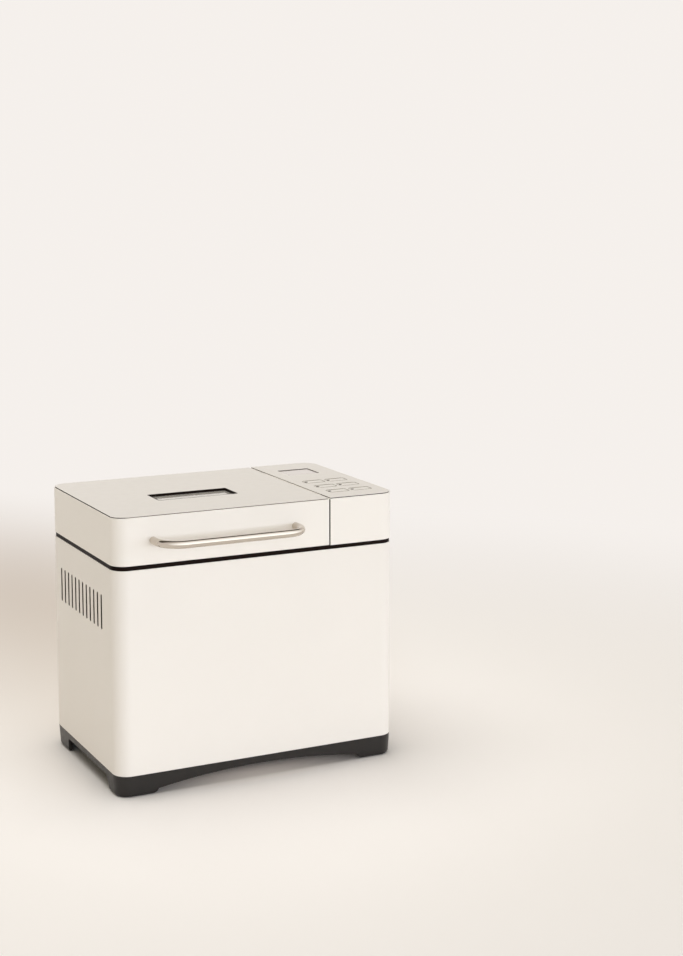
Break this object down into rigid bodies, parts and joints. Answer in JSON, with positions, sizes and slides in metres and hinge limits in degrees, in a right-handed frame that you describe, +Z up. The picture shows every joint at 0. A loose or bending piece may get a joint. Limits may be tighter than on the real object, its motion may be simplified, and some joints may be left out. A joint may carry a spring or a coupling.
{
  "type": "bread machine",
  "caption": "Countertop bread maker with a hinged windowed lid, a bar handle, a side control panel, a lift-out pan and a belt-driven kneading paddle.",
  "frame": {"origin": "on the table, at the middle of the footprint of the whole machine with its handle", "axes": "+Z up, -Y towards the front with the handle, +X towards the control panel"},
  "size_m": [0.35, 0.2734, 0.3211],
  "materials": {
    "cream_paint": "satin cream paint on sheet steel",
    "cream_shell": "satin cream moulding",
    "satin_plate": "fine satin beige plate",
    "black_plastic": "matte black moulding",
    "soft_rubber": "matte dark rubber",
    "silicone": "grey silicone",
    "handle_steel": "fine brushed stainless steel",
    "sheet_steel": "zinc-plated sheet steel",
    "liner_steel": "bright aluminised liner sheet",
    "screw_steel": "plated screws, shafts and pins",
    "cast_alloy": "cast light alloy",
    "gold_coat": "champagne gold non-stick coat on light alloy",
    "bush_bronze": "oiled sintered bronze",
    "winding_copper": "laminations with lacquered windings",
    "white_ceramic": "unglazed white ceramic",
    "board_green": "solder-masked circuit board",
    "window_glass": "clear tempered glass with a grey tint",
    "display_lens": "unlit lilac-grey display lens"
  },
  "bodies": {
    "machine": {"base_tray": "black_plastic", "foot_pads": "soft_rubber", "chassis_screws": "screw_steel", "body_wrap": "cream_paint", "rear_cover": "cream_paint", "small_screws": "screw_steel", "top_frame": "black_plastic", "chassis_plate": "sheet_steel", "chamber_spacers": "screw_steel", "chamber_liner": "liner_steel", "heating_element": "sheet_steel", "heater_clips": "liner_steel", "heater_insulators": "white_ceramic", "temperature_sensor": "screw_steel", "thermal_fuse": "sheet_steel", "pan_seat": "cast_alloy", "bearing_housing": "cast_alloy", "drive_bushes": "bush_bronze", "drive_belt": "soft_rubber", "motor_mounts": "soft_rubber", "motor_housing": "cast_alloy", "motor_stator": "winding_copper", "power_board": "board_green", "power_parts": "black_plastic", "board_bracket": "sheet_steel", "cable_gland": "black_plastic", "panel_housing": "cream_shell", "panel_plate": "satin_plate", "display_window": "display_lens", "control_board": "board_green", "button_switches": "black_plastic", "ribbon_cable": "soft_rubber"},
    "drive": {"drive_shaft": "screw_steel", "drive_coupling": "cast_alloy", "large_pulley": "black_plastic", "pulley_clip": "screw_steel"},
    "rotor": {"motor_shaft": "screw_steel", "motor_pulley": "black_plastic", "motor_fan": "black_plastic"},
    "pan": {"bread_pan": "gold_coat", "pan_fittings": "cast_alloy"},
    "bail": {"pan_bail": "handle_steel"},
    "pan_drive": {"pan_shaft": "screw_steel"},
    "paddle": {"kneading_paddle": "gold_coat"},
    "lid": {"lid_shell": "cream_shell", "lid_plate": "satin_plate", "window_bezel": "black_plastic", "window_glass": "window_glass", "lid_liner": "liner_steel", "inner_window": "window_glass", "lid_seal": "silicone", "lid_handle": "handle_steel", "lid_screws": "screw_steel", "hinge_pins": "screw_steel"},
    "menu_key": {"button_menu": "satin_plate"},
    "loaf_key": {"button_loaf": "satin_plate"},
    "crust_key": {"button_crust": "satin_plate"},
    "timer_key": {"button_timer": "satin_plate"},
    "start_key": {"button_start": "satin_plate"},
    "stop_key": {"button_stop": "satin_plate"}
  },
  "joints": [
    {"name": "lid_hinge", "type": "hinge", "parent": "machine", "child": "lid", "pos_m": [-0.0432, 0.1282, 0.272], "axis": [-1, 0, 0], "range_deg": [0, 85]},
    {"name": "pan_lift", "type": "slide", "parent": "machine", "child": "pan", "axis": [0, 0, 1], "range_m": [0, 0.07]},
    {"name": "bail_swing", "type": "hinge", "parent": "pan", "child": "bail", "pos_m": [-0.0432, 0.0197, 0.212], "axis": [-1, 0, 0], "range_deg": [0, 180]},
    {"name": "drive_spin", "type": "hinge", "parent": "machine", "child": "drive", "pos_m": [-0.0432, 0.0197, 0.06], "axis": [0, 0, 1], "continuous": true},
    {"name": "motor_spin", "type": "hinge", "parent": "machine", "child": "rotor", "pos_m": [0.124, 0.0197, 0.09], "axis": [0, 0, 1], "continuous": true},
    {"name": "pan_shaft_spin", "type": "hinge", "parent": "pan", "child": "pan_drive", "pos_m": [-0.0432, 0.0197, 0.08], "axis": [0, 0, 1], "continuous": true},
    {"name": "paddle_lift", "type": "slide", "parent": "pan_drive", "child": "paddle", "axis": [0, 0, 1], "range_m": [0, 0.04]},
    {"name": "menu_press", "type": "slide", "parent": "machine", "child": "menu_key", "axis": [0, 0, -1], "range_m": [0, 0.0008], "stiffness_N_per_m": 900},
    {"name": "loaf_press", "type": "slide", "parent": "machine", "child": "loaf_key", "axis": [0, 0, -1], "range_m": [0, 0.0008], "stiffness_N_per_m": 900},
    {"name": "crust_press", "type": "slide", "parent": "machine", "child": "crust_key", "axis": [0, 0, -1], "range_m": [0, 0.0008], "stiffness_N_per_m": 900},
    {"name": "timer_press", "type": "slide", "parent": "machine", "child": "timer_key", "axis": [0, 0, -1], "range_m": [0, 0.0008], "stiffness_N_per_m": 900},
    {"name": "start_press", "type": "slide", "parent": "machine", "child": "start_key", "axis": [0, 0, -1], "range_m": [0, 0.0008], "stiffness_N_per_m": 900},
    {"name": "stop_press", "type": "slide", "parent": "machine", "child": "stop_key", "axis": [0, 0, -1], "range_m": [0, 0.0008], "stiffness_N_per_m": 900}
  ],
  "couplings": [
    {"joint": "motor_spin", "follows": "drive_spin", "ratio": 5.3333},
    {"joint": "pan_shaft_spin", "follows": "drive_spin", "ratio": 1}
  ]
}
